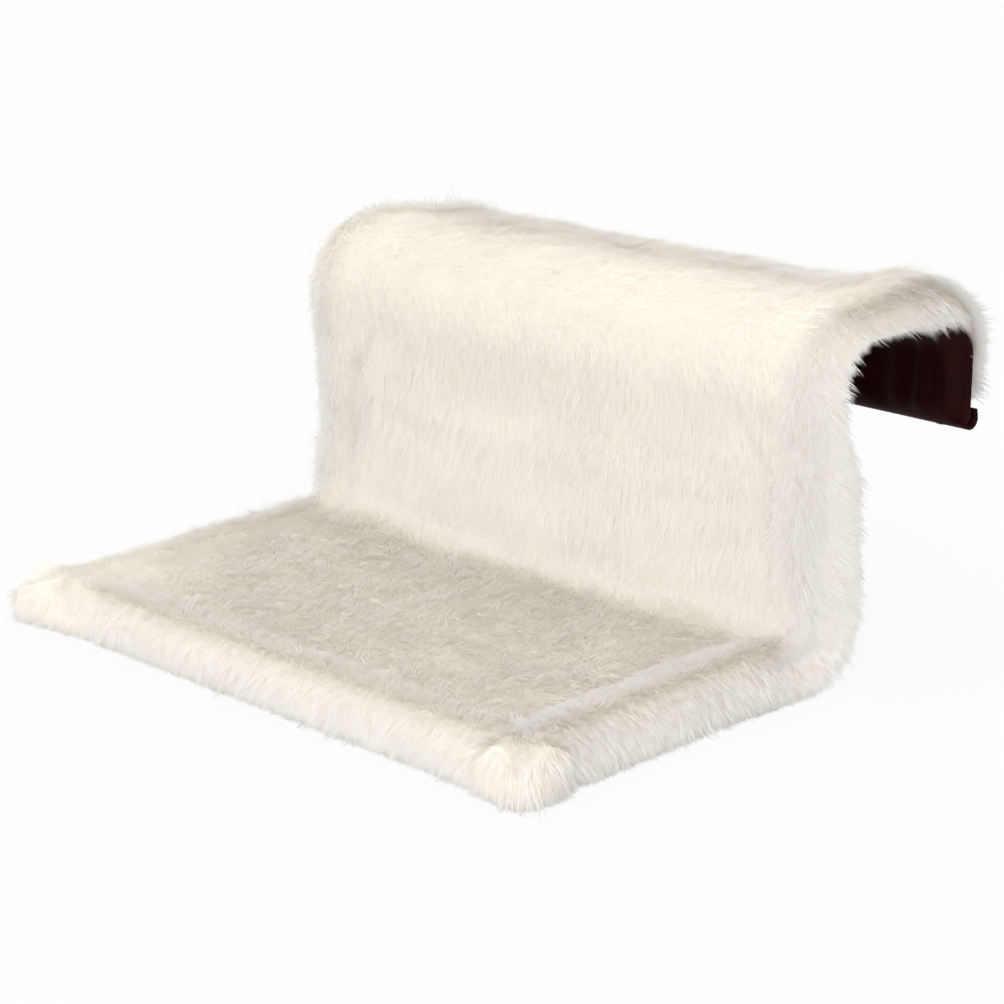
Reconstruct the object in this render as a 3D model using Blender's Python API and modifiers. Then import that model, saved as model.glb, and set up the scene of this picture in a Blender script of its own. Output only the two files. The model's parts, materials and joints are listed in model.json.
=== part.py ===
# A radiator cat bed: a bent tube frame in a padded plush cover, with a hook that goes over the radiator.
# +X is the width (right as seen from the front), +Y points to the radiator, +Z is up.
# The origin is the middle of the flat lining under the top, which rests on the radiator's upper edge.
# All distances along the frame run up its side profile from the front bar: seat, crease, back, top, hook.

import math

import bpy
import bmesh
from mathutils import Vector

mm = 0.001
quarter_turn = math.radians(90)
clearance = 0.3 * mm  # between pieces that touch
cut_overrun = 2 * mm  # how far every cutter runs past what it cuts

# Driving sizes: the width over the plush, and the frame from centre line to centre line
seat_width = 480 * mm
seat_depth = 264 * mm
rise = 206 * mm
hook_depth = 145 * mm
hook_drop = 72 * mm
crease_radius = 40 * mm
top_radius = 34 * mm
hook_radius = 33 * mm

# Tubes
rail_diameter = 14 * mm
rail_wall = 1.2 * mm
rail_front_overhang = 8.5 * mm
rail_top_length = 45 * mm  # straight rear end of a rail, which holds a hook leg
bar_diameter = 12 * mm
bar_wall = 1.2 * mm
leg_wall = 1 * mm
hook_travel = 27 * mm  # how far the hook draws out to fit a deeper radiator
leg_hold = 12 * mm  # of a leg still inside its rail with the hook drawn out
leg_overhang = 7.5 * mm
hook_bar_diameter = 10 * mm
hook_bar_wall = 1 * mm
bend_steps = 6
bevel_resolution = 4

# Bolts, inserts and plugs
bolt_diameter = 5 * mm
bolt_head_diameter = 9.5 * mm
bolt_head_height = 2.8 * mm
bolt_grip = 12 * mm  # how deep a bolt reaches into its insert
socket_width = 3 * mm
socket_depth = 1.6 * mm
insert_length = 14 * mm
insert_recess = 0.5 * mm
plug_cap = 2 * mm
plug_stem = 5 * mm
leg_plug_cap = 1.3 * mm
leg_plug_stem = 4 * mm
chamfer_share = 1 / 3  # of a plug's cap
round_steps = 12
merge_distance = 0.03 * mm

# Thumb screws that clamp the hook legs
clamp_place = 24 * mm  # behind the top bend
clamp_nut_diameter = 10 * mm
clamp_nut_length = 5 * mm
knob_diameter = 10 * mm
knob_length = 8 * mm
knob_floor = 1.5 * mm
knob_gap = 0.5 * mm
knob_lobe_depth = 0.5 * mm
knob_steps = 16

# Plush cover, measured from the plane of the tubes' centres
seat_side_reach = 26 * mm  # from a rail's centre line to the cover's side
back_side_reach = 26 * mm
plush_thickness = 7 * mm
hook_plush_thickness = 5 * mm
border_width = 48 * mm
seat_crown = 22.5 * mm
back_crown = 22.5 * mm
top_crown = 23 * mm
hook_crown = 16 * mm
seat_panel = 10 * mm
crease_joint_panel = 12 * mm
crease_panel = 16.5 * mm
back_panel = 11 * mm
top_bar_panel = 17.5 * mm
top_panel = 16 * mm
hook_panel = 12 * mm
seam_depth = 3 * mm
top_seam_depth = 1.5 * mm
front_reach = 22.3 * mm  # plush in front of the front bar
hook_reach = 15 * mm  # plush below the hook bar
seat_corner_radius = 22 * mm
hook_corner_radius = 16 * mm
panel_shoulder = 26 * mm  # over which a middle panel rises from its seam
joint_setback = 8 * mm  # from a bend to the joint between two pieces of the cover
end_step = 3 * mm  # first and last row of a sheet, which keep its ends square

# Lining
lining_thickness = 1.2 * mm
lining_edge_gap = 2 * mm
lining_taper = 45 * mm  # end of the back, where the lining draws in to the top
lining_fold_depth = 1.6 * mm
lining_fold_pitch = 54 * mm
lining_columns = 8
hook_lining_columns = 32

# Foam sleeves and wadding
foam_diameter = 29 * mm
foam_end_gap = 3 * mm
foam_resolution = 6
wadding_inset = 6 * mm
wadding_gap = 0.7 * mm
seat_wadding_thickness = 13.8 * mm
back_wadding_thickness = 14.8 * mm
top_wadding_thickness = 13.5 * mm
hook_wadding_thickness = 11.8 * mm
wadding_columns = 8

# Hook-and-loop closure inside the seat
strip_thickness = 1 * mm
strip_width = 20 * mm
strip_inset = 30 * mm  # from the crease
strip_end_inset = 12 * mm  # from the border rolls' seams

# Shape of a border roll across it: place from its seam to its outer side, and height, where 0 is the seam,
# 1 the crown and -1 the lower edge.
roll_shares = (
    (0.0, 0.0),
    (0.13, 0.56),
    (0.27, 0.93),
    (0.5, 1.0),
    (0.68, 0.93),
    (0.84, 0.66),
    (0.95, 0.25),
    (1.0, -0.2),
)
side_drop_shares = (-0.6, -1.0)  # heights of the straight lower part of a side
crown_share = 0.5
panel_shares = (0.0, 0.25, 0.5, 0.75, 0.92)  # columns of a middle panel, from the middle to its seam
smooth_angle = math.radians(40)  # edges sharper than this stay sharp

# Sizes that follow
half_spacing = seat_width / 2 - seat_side_reach
strip_length = seat_width - 2 * (border_width + strip_end_inset)
rail_radius = rail_diameter / 2
rail_bore = rail_radius - rail_wall
leg_radius = rail_bore - clearance
leg_bore = leg_radius - leg_wall
bar_radius = bar_diameter / 2
hook_bar_radius = hook_bar_diameter / 2
bolt_radius = bolt_diameter / 2
foam_radius = foam_diameter / 2
seat_under = foam_radius + clearance + lining_thickness
top_under = rail_radius + clearance + lining_thickness
back_plane = -(top_radius + rail_top_length / 2)
top_level = top_under
seat_level = top_level - rise
front_plane = back_plane - seat_depth

# The side profile as (length, radius of the bend or None, turn)
profile = (
    (seat_depth - crease_radius, None, 0),
    (crease_radius * quarter_turn, crease_radius, 1),
    (rise - crease_radius - top_radius, None, 0),
    (top_radius * quarter_turn, top_radius, -1),
    (hook_depth - top_radius - hook_radius, None, 0),
    (hook_radius * quarter_turn, hook_radius, -1),
    (hook_drop - hook_radius, None, 0),
)
joints_along = [sum(part[0] for part in profile[:count]) for count in range(len(profile) + 1)]
crease_start, crease_end, back_end, top_start, hook_start, drop_start, hook_bar_at = joints_along[1:]
rail_end = top_start + rail_top_length
crease_bar_at = (crease_start + crease_end) / 2
top_bar_at = (back_end + top_start) / 2
clamp_at = top_start + clamp_place
hook_end = hook_bar_at + hook_reach
crease_joint = crease_start - joint_setback
top_joint = back_end - joint_setback


def along(distance):
    # The point of the side profile at this distance, as (y, z), and the direction of travel there.
    y, z, heading = front_plane, seat_level, 0
    left = distance
    for number, (length, radius, turn) in enumerate(profile):
        step = left if left < length or number == len(profile) - 1 else length
        ahead, aside = step, 0
        if radius:
            ahead = radius * math.sin(step / radius)
            aside = turn * radius * (1 - math.cos(step / radius))
        y += ahead * math.cos(heading) - aside * math.sin(heading)
        z += ahead * math.sin(heading) + aside * math.cos(heading)
        if radius:
            heading += turn * step / radius
        left -= step
        if left <= 0:
            break
    return y, z, heading


def place(x, distance, height):
    # A point beside the profile: height is measured from the tubes' plane towards the plush.
    y, z, heading = along(distance)
    return Vector((x, y - height * math.sin(heading), z + height * math.cos(heading)))


def rows_between(start, end, line_step):
    # Distances from start to end, close together in the bends.
    rows = [start]
    for first, (length, radius, turn) in zip(joints_along, profile):
        low = max(start, first)
        high = min(end, first + length)
        if high <= low:
            continue
        if radius:
            count = max(1, round(bend_steps * (high - low) / length))
        else:
            count = max(1, math.ceil((high - low) / line_step))
        rows += [low + (high - low) * step / count for step in range(1, count + 1)]
    if rows[-1] < end:
        rows.append(end)
    return rows


def square_rows(start, end, line_step):
    # The same with a short row at each end.
    return [start] + rows_between(start + end_step, end - end_step, line_step) + [end]


def level(distance, stops):
    # A smooth change from stop to stop, each a (distance, value) pair.
    if distance <= stops[0][0]:
        return stops[0][1]
    for (low, before), (high, after) in zip(stops, stops[1:]):
        if distance <= high:
            share = (distance - low) / (high - low)
            share = share * share * (3 - 2 * share)
            return before + (after - before) * share
    return stops[-1][1]


def crown_at(distance):
    return level(
        distance,
        (
            (crease_joint, seat_crown),
            (crease_end, back_crown),
            (top_joint - lining_taper, back_crown),
            (top_joint, top_crown),
            (hook_start, top_crown),
            (drop_start, hook_crown),
        ),
    )


def panel_at(distance):
    return level(
        distance,
        (
            (crease_start - border_width, seat_panel),
            (crease_joint, crease_joint_panel),
            (crease_bar_at, crease_panel),
            (crease_end + border_width, back_panel),
            (top_joint - border_width, back_panel),
            (top_joint, top_bar_panel),
            (top_bar_at, top_bar_panel),
            (rail_end, top_panel),
            (drop_start, hook_panel),
        ),
    )


def seam_at(distance):
    depth = level(distance, ((top_joint - border_width, seam_depth), (top_joint, top_seam_depth)))
    return panel_at(distance) - depth


def under_at(distance):
    return level(distance, ((top_joint - lining_taper, seat_under), (top_joint, top_under)))


def half_width_at(distance):
    reach = level(distance, ((crease_joint, seat_side_reach), (crease_end, back_side_reach)))
    return half_spacing + reach


def inner_share(height_share, place_share):
    return height_share if place_share < crown_share else 1


def outer_share(height_share, place_share):
    return 1 if place_share < crown_share else height_share


def columns_across():
    # (panel share, roll share), inner height share, outer height share, side
    half = [((share, 0), 0, 1) for share in panel_shares]
    for across, height in roll_shares:
        half.append(((1, across), inner_share(height, across), outer_share(height, across)))
    left = [(shares, inner, outer, -1) for shares, inner, outer in reversed(half[1:])]
    return left + [(shares, inner, outer, 1) for shares, inner, outer in half]


def even_columns(count):
    # Shares of the half width from -1 to 1.
    return [2 * step / count - 1 for step in range(count + 1)]


def end_rows(end, seam, reverse):
    # Rows over a border roll at an end of the profile, from its seam to its outer edge.
    rows = []
    for across, height in roll_shares:
        distance = seam + (end - seam) * across
        rows.append((distance, inner_share(height, across), outer_share(height, across)))
    return rows[::-1] if reverse else rows


def rounded_corner(x, distance, half_width, end, inward, radius):
    # Draws a square corner in to a round one of this radius.
    over_x = abs(x) - (half_width - radius)
    over_end = (end + inward * radius - distance) * inward
    if over_x <= 0 or over_end <= 0:
        return x, distance
    square = max(over_x, over_end)
    scale = square / math.hypot(over_x, over_end)
    x = math.copysign(half_width - radius + over_x * scale, x)
    return x, end + inward * (radius - over_end * scale)


def plush_height(distance, share):
    # Height of a roll at this share: 0 is its seam, 1 its crown and -1 its lower edge.
    seam = seam_at(distance)
    if share >= 0:
        return seam + (crown_at(distance) - seam) * share
    floor = -under_at(distance) + lining_thickness / 2
    return seam + (seam - floor) * share


def plush_point(column, row, corner):
    # A point of the plush's outer surface, as (x, distance, height).
    (panel_share, roll_share), inner_x, outer_x, side = column
    distance, inner_row, outer_row = row
    half_width = half_width_at(distance)
    seam_x = half_width - border_width
    x = seam_x * panel_share + border_width * roll_share
    height = plush_height(distance, min(max(inner_x, inner_row), outer_x, outer_row))
    if roll_share == 0 and inner_row == 0:
        rise_share = min(1, (seam_x - x) / panel_shoulder)
        height += (panel_at(distance) - seam_at(distance)) * math.sin(rise_share * quarter_turn)
    x *= side
    if corner:
        x, distance = rounded_corner(x, distance, half_width, *corner)
    return x, distance, height


def collection(name):
    made = bpy.data.collections.new(name)
    bpy.context.scene.collection.children.link(made)
    return made


def material(name, color, roughness, metallic=0.0):
    made = bpy.data.materials.new(name)
    made.use_nodes = True
    shader = made.node_tree.nodes["Principled BSDF"]
    shader.inputs["Base Color"].default_value = (*color, 1)
    shader.inputs["Roughness"].default_value = roughness
    shader.inputs["Metallic"].default_value = metallic
    return made


def add_object(name, mesh, finish, home):
    made = bpy.data.objects.new(name, mesh)
    if finish:
        mesh.materials.append(finish)
    home.objects.link(made)
    return made


def mesh_from(name, work):
    mesh = bpy.data.meshes.new(name)
    work.to_mesh(mesh)
    work.free()
    mesh.shade_smooth()
    mesh.set_sharp_from_angle(angle=smooth_angle)
    return mesh


def solidify(made, thickness):
    modifier = made.modifiers.new("thickness", "SOLIDIFY")
    modifier.thickness = thickness
    modifier.offset = -1
    modifier.use_even_offset = True


def sheet(name, columns, rows, point, thickness, finish, hangs=None):
    # A grid bent to the points that the function gives, with a thickness on its inner side.
    # Where hangs says so, its open edges are extruded down to the lining.
    work = bmesh.new()
    across = work.verts.layers.float.new("across")
    forward = work.verts.layers.float.new("forward")
    bmesh.ops.create_grid(work, x_segments=len(columns) - 1, y_segments=len(rows) - 1, size=0.5)
    for vertex in work.verts:
        column = columns[round((vertex.co.x + 0.5) * (len(columns) - 1))]
        row = rows[round((vertex.co.y + 0.5) * (len(rows) - 1))]
        x, distance, height = point(column, row)
        vertex[across] = x
        vertex[forward] = distance
        vertex.co = place(x, distance, height)
    if hangs:
        edges = [edge for edge in work.edges if edge.is_boundary]
        edges = [edge for edge in edges if hangs([vertex[forward] for vertex in edge.verts])]
        for share in side_drop_shares:
            grown = bmesh.ops.extrude_edge_only(work, edges=edges)["geom"]
            edges = [item for item in grown if isinstance(item, bmesh.types.BMEdge)]
            edges = [edge for edge in edges if edge.is_boundary]
            for vertex in [item for item in grown if isinstance(item, bmesh.types.BMVert)]:
                distance = vertex[forward]
                vertex.co = place(vertex[across], distance, plush_height(distance, share))
            edges = [edge for edge in edges if hangs([vertex[forward] for vertex in edge.verts])]
    made = add_object(name, mesh_from(name, work), finish, parts)
    solidify(made, thickness)
    return made


def tube(name, points, radius, wall, finish, resolution=bevel_resolution):
    # An open tube along the points, as a mesh with a wall on its inner side.
    curve = bpy.data.curves.new(name, "CURVE")
    curve.dimensions = "3D"
    curve.bevel_depth = radius
    curve.bevel_resolution = resolution
    curve.use_fill_caps = False
    line = curve.splines.new("POLY")
    line.points.add(len(points) - 1)
    for spot, point in zip(line.points, points):
        spot.co = (*point, 1)
    guide = bpy.data.objects.new(name, curve)
    parts.objects.link(guide)
    graph = bpy.context.evaluated_depsgraph_get()
    mesh = bpy.data.meshes.new_from_object(guide.evaluated_get(graph))
    mesh.transform(guide.matrix_world)
    bpy.data.objects.remove(guide)
    bpy.data.curves.remove(curve)
    mesh.name = name
    mesh.shade_smooth()
    made = add_object(name, mesh, finish, parts)
    solidify(made, wall)
    return made


def turned(name, outline, steps, finish, location, rotation, home=None):
    # A profile of (radius, height) points, turned about its own Z axis.
    work = bmesh.new()
    spots = [work.verts.new((radius, 0, height)) for radius, height in outline]
    for first, second in zip(spots, spots[1:]):
        work.edges.new((first, second))
    mesh = bpy.data.meshes.new(name)
    work.to_mesh(mesh)
    work.free()
    made = add_object(name, mesh, finish, home or parts)
    screw = made.modifiers.new("turn", "SCREW")
    screw.steps = steps
    screw.render_steps = steps
    screw.use_merge_vertices = True
    screw.merge_threshold = merge_distance
    screw.use_smooth_shade = False
    made.location = location
    made.rotation_euler = rotation
    return made


def cutter(name, radius, length, location, rotation, segments=round_steps):
    work = bmesh.new()
    bmesh.ops.create_cone(
        work, cap_ends=True, segments=segments, radius1=radius, radius2=radius, depth=length
    )
    mesh = bpy.data.meshes.new(name)
    work.to_mesh(mesh)
    work.free()
    made = add_object(name, mesh, None, cutters)
    made.location = location
    made.rotation_euler = rotation
    made.hide_render = True
    made.display_type = "WIRE"
    return made


def cut(made, tool):
    modifier = made.modifiers.new(tool.name, "BOOLEAN")
    modifier.operation = "DIFFERENCE"
    modifier.solver = "EXACT"
    modifier.object = tool


def facing(side):
    # Turns an object's +Z to +X or -X.
    return (0, side * quarter_turn, 0)


def side_name(side):
    return "right" if side > 0 else "left"


def make_rails():
    rows = rows_between(-rail_front_overhang, rail_end, seat_depth)
    for side in (-1, 1):
        points = [place(side * half_spacing, row, 0) for row in rows]
        rail = tube(f"side_rail_{side_name(side)}", points, rail_radius, rail_wall, steel)
        for label, spot in (("front", 0), ("crease", crease_bar_at), ("top", top_bar_at)):
            hole = cutter(
                f"cut_rail_{label}_{side_name(side)}",
                bolt_radius + clearance,
                rail_diameter + cut_overrun,
                place(side * half_spacing, spot, 0),
                facing(side),
            )
            cut(rail, hole)
        reach = rail_radius + cut_overrun
        hole = cutter(
            f"cut_rail_clamp_{side_name(side)}",
            bolt_radius + clearance,
            reach,
            place(side * (half_spacing - reach / 2), clamp_at, 0),
            facing(side),
        )
        cut(rail, hole)


def make_legs():
    hidden_end = rail_end - hook_travel - leg_hold
    rows = rows_between(hidden_end, hook_bar_at + leg_overhang, seat_depth)
    for side in (-1, 1):
        points = [place(side * half_spacing, row, 0) for row in rows]
        leg = tube(f"hook_leg_{side_name(side)}", points, leg_radius, leg_wall, steel)
        hole = cutter(
            f"cut_leg_{side_name(side)}",
            bolt_radius + clearance,
            2 * leg_radius + cut_overrun,
            place(side * half_spacing, hook_bar_at, 0),
            facing(side),
        )
        cut(leg, hole)


def make_bar(label, spot, radius, wall, carrier_radius):
    # A straight bar between the two sides, with an insert and a bolt at each end.
    reach = half_spacing - carrier_radius - clearance
    ends = [place(-reach, spot, 0), place(reach, spot, 0)]
    tube(f"{label}_cross_bar", ends, radius, wall, steel)
    insert_radius = radius - wall - clearance
    hole = bolt_radius + clearance
    ring = (
        (hole, insert_length / 2),
        (insert_radius, insert_length / 2),
        (insert_radius, -insert_length / 2),
        (hole, -insert_length / 2),
        (hole, insert_length / 2),
    )
    shank = 2 * carrier_radius + 2 * clearance + bolt_grip
    bolt = (
        (0, bolt_head_height),
        ((bolt_head_diameter - bolt_head_height) / 2, bolt_head_height),
        (bolt_head_diameter / 2, bolt_head_height / 2),
        (bolt_head_diameter / 2, 0),
        (bolt_radius, 0),
        (bolt_radius, -shank),
        (0, -shank),
    )
    for side in (-1, 1):
        end = f"{label}_{side_name(side)}"
        middle = reach - insert_recess - insert_length / 2
        turned(
            f"bar_insert_{end}", ring, round_steps, zinc, place(side * middle, spot, 0), facing(side)
        )
        seat_at = half_spacing + carrier_radius + clearance
        head = place(side * seat_at, spot, 0)
        made = turned(f"bar_bolt_{end}", bolt, round_steps, zinc, head, facing(side))
        socket = cutter(
            f"cut_socket_{end}",
            socket_width / 2,
            2 * socket_depth,
            place(side * (seat_at + bolt_head_height), spot, 0),
            facing(side),
            segments=6,
        )
        cut(made, socket)


def make_plug(name, bore, radius, cap, stem, location, rotation):
    outline = (
        (0, cap),
        (radius - cap * chamfer_share, cap),
        (radius, cap - cap * chamfer_share),
        (radius, clearance),
        (bore - clearance, clearance),
        (bore - clearance, -stem),
        (0, -stem),
    )
    turned(name, outline, round_steps, black_plastic, location, rotation)


def make_plugs():
    for side in (-1, 1):
        x = side * half_spacing
        make_plug(
            f"rail_end_plug_{side_name(side)}",
            rail_bore,
            rail_radius,
            plug_cap,
            plug_stem,
            place(x, -rail_front_overhang, 0),
            (quarter_turn, 0, 0),
        )
        make_plug(
            f"leg_end_plug_{side_name(side)}",
            leg_bore,
            leg_radius,
            leg_plug_cap,
            leg_plug_stem,
            place(x, hook_bar_at + leg_overhang, 0),
            (2 * quarter_turn, 0, 0),
        )


def make_clamps():
    # Each thumb screw turns about X. Its nut sits on the rail's inner side.
    hole = bolt_radius + clearance
    nut = (
        (hole, clamp_nut_length),
        (clamp_nut_diameter / 2, clamp_nut_length),
        (clamp_nut_diameter / 2, 0),
        (hole, 0),
        (hole, clamp_nut_length),
    )
    nut_foot = rail_radius + clearance
    knob_foot = nut_foot + clamp_nut_length + knob_gap
    tip = leg_radius + clearance
    shank_end = knob_foot + knob_length - knob_floor - clearance
    shank = ((0, shank_end), (bolt_radius, shank_end), (bolt_radius, tip), (0, tip))
    for side in (-1, 1):
        axis = place(side * half_spacing, clamp_at, 0)
        inward = facing(-side)
        foot = axis - Vector((side * nut_foot, 0, 0))
        turned(f"clamp_nut_{side_name(side)}", nut, round_steps, zinc, foot, inward)
        turned(f"thumb_screw_{side_name(side)}", shank, round_steps, zinc, axis, inward)
        make_knob(f"thumb_knob_{side_name(side)}", axis - Vector((side * knob_foot, 0, 0)), inward)


def make_knob(name, location, rotation):
    # A lobed knob with a blind bore for the screw.
    work = bmesh.new()
    bmesh.ops.create_cone(
        work,
        cap_ends=True,
        segments=knob_steps,
        radius1=knob_diameter / 2,
        radius2=knob_diameter / 2,
        depth=knob_length,
    )
    for vertex in work.verts:
        turn = math.atan2(vertex.co.y, vertex.co.x)
        if round(turn / (2 * math.pi) * knob_steps) % 2:
            vertex.co.xy *= 1 - knob_lobe_depth / (knob_diameter / 2)
        vertex.co.z += knob_length / 2
    made = add_object(name, mesh_from(name, work), black_plastic, parts)
    made.location = location
    made.rotation_euler = rotation
    depth = knob_length - knob_floor + cut_overrun
    middle = (knob_length - knob_floor - cut_overrun) / 2
    side = math.copysign(1, rotation[1])
    bore = cutter(
        f"cut_{name}",
        bolt_radius + clearance,
        depth,
        location + Vector((side * middle, 0, 0)),
        rotation,
    )
    cut(made, bore)


def make_foam():
    wall = foam_radius - rail_radius - clearance
    spans = (
        ("seat", foam_radius + foam_end_gap, crease_start - foam_end_gap),
        ("back", crease_end + foam_end_gap, top_joint - lining_taper),
    )
    for label, start, end in spans:
        for side in (-1, 1):
            points = [place(side * half_spacing, spot, 0) for spot in (start, end)]
            name = f"{label}_foam_{side_name(side)}"
            tube(name, points, foam_radius, wall, foam, foam_resolution)
    reach = half_spacing - foam_radius - foam_end_gap
    points = [place(-reach, 0, 0), place(reach, 0, 0)]
    wall = foam_radius - bar_radius - clearance
    tube("seat_foam_front", points, foam_radius, wall, foam, foam_resolution)


def make_plush():
    columns = columns_across()
    gap = clearance / 2
    line_step = border_width

    def plain(start, end):
        return [(row, 0, 1) for row in square_rows(start, end, line_step)]

    seam = border_width - front_reach
    front = (-front_reach, 1, seat_corner_radius)
    hem = hook_end - border_width
    bottom = (hook_end, -1, hook_corner_radius)
    pieces = (
        (
            "plush_seat",
            end_rows(-front_reach, seam, True) + plain(seam, crease_joint - gap)[1:],
            front,
            plush_thickness,
        ),
        ("plush_back", plain(crease_joint + gap, top_joint - gap), None, plush_thickness),
        ("plush_top", plain(top_joint + gap, rail_end - gap), None, plush_thickness),
        (
            "plush_hook",
            plain(rail_end + gap, hem)[:-1] + end_rows(hook_end, hem, False),
            bottom,
            hook_plush_thickness,
        ),
    )
    for name, rows, corner, thickness in pieces:
        cut_ends = [rows[0][0], rows[-1][0]]
        if corner:
            cut_ends.remove(corner[0])

        def point(column, row, corner=corner):
            return plush_point(column, row, corner)

        def hangs(distances, cut_ends=cut_ends):
            return not any(
                all(abs(distance - end) < merge_distance for distance in distances)
                for end in cut_ends
            )

        sheet(name, columns, rows, point, thickness, plush, hangs)


def make_lining():
    gap = clearance / 2

    def point(share, distance):
        half_width = half_width_at(distance) - plush_thickness - lining_edge_gap
        height = -under_at(distance)
        x = share * half_width
        if distance > drop_start:
            fade = min(1, (distance - drop_start) / (hook_drop - hook_radius))
            wave = math.cos(2 * math.pi * x / lining_fold_pitch)
            height += lining_fold_depth * fade * (wave - 1) / 2
        x, distance = rounded_corner(
            x, distance, half_width, edge - front_reach, 1, seat_corner_radius - plush_thickness
        )
        return x, distance, height

    edge = plush_thickness + lining_edge_gap
    spans = (
        ("lining_seat", edge - front_reach, crease_joint - gap, lining_columns),
        ("lining_back", crease_joint + gap, top_joint - gap, lining_columns),
        ("lining_top", top_joint + gap, rail_end - gap, lining_columns),
        ("lining_hook", rail_end + gap, hook_end - edge, hook_lining_columns),
    )
    for name, start, end, count in spans:
        rows = square_rows(start, end, border_width)
        made = sheet(name, even_columns(count), rows, point, lining_thickness, lining)
        made.modifiers["thickness"].offset = 1


def make_wadding():
    def point(share, distance):
        x = share * (half_width_at(distance) - border_width - wadding_inset)
        thickness = hook_plush_thickness if distance > hook_start else plush_thickness
        return x, distance, seam_at(distance) - thickness - wadding_gap

    seat_start = border_width - front_reach
    seat_end = crease_start - border_width
    hook_stop = hook_bar_at - hook_bar_radius - wadding_inset
    spans = (
        ("seat_wadding", seat_start, seat_end, seat_wadding_thickness),
        ("back_wadding", crease_end + border_width, top_joint - border_width, back_wadding_thickness),
        ("top_wadding", top_start + wadding_inset, rail_end - wadding_inset, top_wadding_thickness),
        ("hook_wadding", drop_start, hook_stop, hook_wadding_thickness),
    )
    for name, start, end, thickness in spans:
        rows = rows_between(start, end, border_width)
        sheet(name, even_columns(wadding_columns), rows, point, thickness, wadding)


def make_closure():
    floor = -seat_under + lining_thickness + clearance
    middle = crease_start - strip_inset
    for number, name in enumerate(("closure_hook_strip", "closure_loop_strip")):
        height = floor + number * (strip_thickness + clearance) + strip_thickness / 2
        work = bmesh.new()
        bmesh.ops.create_cube(work, size=1)
        bmesh.ops.scale(work, vec=(strip_length, strip_width, strip_thickness), verts=work.verts)
        made = add_object(name, mesh_from(name, work), tape, parts)
        made.location = place(0, middle, height)


for existing in list(bpy.data.objects):
    bpy.data.objects.remove(existing)

parts = collection("radiator_cat_bed")
cutters = collection("cutters")
cutters.hide_render = True

steel = material("frame_steel", (0.62, 0.63, 0.65), 0.35, 1.0)
zinc = material("zinc_plate", (0.7, 0.7, 0.68), 0.3, 1.0)
black_plastic = material("black_plastic", (0.03, 0.03, 0.03), 0.5)
plush = material("cream_plush", (0.87, 0.82, 0.73), 0.95)
lining = material("red_brown_lining", (0.06, 0.012, 0.01), 0.55)
foam = material("grey_foam", (0.35, 0.35, 0.36), 0.95)
wadding = material("white_wadding", (0.85, 0.85, 0.84), 0.95)
tape = material("closure_tape", (0.05, 0.03, 0.03), 0.8)

make_rails()
make_legs()
make_bar("front", 0, bar_radius, bar_wall, rail_radius)
make_bar("crease", crease_bar_at, bar_radius, bar_wall, rail_radius)
make_bar("top", top_bar_at, bar_radius, bar_wall, rail_radius)
make_bar("hook", hook_bar_at, hook_bar_radius, hook_bar_wall, leg_radius)
make_plugs()
make_clamps()
make_foam()
make_plush()
make_lining()
make_wadding()
make_closure()
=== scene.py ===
# Radiator cat bed: a cream plush cover on a bent tube frame, with a hook lined in red-brown satin.
# Everything is in metres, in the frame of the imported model.
import json
import math
import random

import bmesh
import bpy
import numpy as np
from mathutils import Matrix, Vector, noise


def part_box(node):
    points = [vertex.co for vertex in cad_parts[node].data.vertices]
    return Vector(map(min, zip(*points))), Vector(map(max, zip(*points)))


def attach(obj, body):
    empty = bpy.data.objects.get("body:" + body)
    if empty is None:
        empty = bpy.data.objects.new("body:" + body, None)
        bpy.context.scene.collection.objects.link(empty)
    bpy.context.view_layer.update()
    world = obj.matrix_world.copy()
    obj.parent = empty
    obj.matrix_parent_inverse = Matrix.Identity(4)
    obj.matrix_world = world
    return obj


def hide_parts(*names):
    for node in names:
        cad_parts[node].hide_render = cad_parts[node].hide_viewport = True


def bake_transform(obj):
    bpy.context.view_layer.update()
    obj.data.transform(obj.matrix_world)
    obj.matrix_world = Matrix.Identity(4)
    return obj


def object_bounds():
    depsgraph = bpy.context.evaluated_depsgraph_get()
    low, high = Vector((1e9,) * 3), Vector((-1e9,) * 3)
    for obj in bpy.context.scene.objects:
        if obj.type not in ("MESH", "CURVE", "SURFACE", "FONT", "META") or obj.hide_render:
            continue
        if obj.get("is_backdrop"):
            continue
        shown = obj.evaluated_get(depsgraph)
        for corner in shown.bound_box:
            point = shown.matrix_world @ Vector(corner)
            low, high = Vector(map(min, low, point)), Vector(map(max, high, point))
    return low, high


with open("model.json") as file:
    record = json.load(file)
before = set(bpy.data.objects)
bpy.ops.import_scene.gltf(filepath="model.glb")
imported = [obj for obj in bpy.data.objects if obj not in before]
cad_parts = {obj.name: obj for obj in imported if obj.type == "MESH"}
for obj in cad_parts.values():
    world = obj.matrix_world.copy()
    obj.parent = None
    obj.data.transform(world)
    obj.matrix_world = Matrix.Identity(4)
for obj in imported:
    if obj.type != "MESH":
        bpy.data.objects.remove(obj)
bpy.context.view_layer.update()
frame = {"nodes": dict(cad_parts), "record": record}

quarterTurn = math.pi / 2
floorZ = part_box("lining_seat")[0][2]

# The side view of the frame, from the front bar over the seat, back and top to the hook's lower bar
sideView = {
    "frontY": -0.3205,
    "seatZ": -0.1975,
    # length, radius of the bend, turn
    "runs": (
        (0.224, 0, 0),
        (0.040 * quarterTurn, 0.040, 1),
        (0.132, 0, 0),
        (0.034 * quarterTurn, 0.034, -1),
        (0.078, 0, 0),
        (0.033 * quarterTurn, 0.033, -1),
        (0.039, 0, 0),
    ),
}
stations = [sum(run[0] for run in sideView["runs"][:count]) for count in range(8)]
creaseStart, creaseEnd, backEnd, topStart, hookStart, dropStart, hookBar = stations[1:]
creaseJoint = creaseStart - 0.008
creaseMiddle = (creaseStart + creaseEnd) / 2
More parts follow.
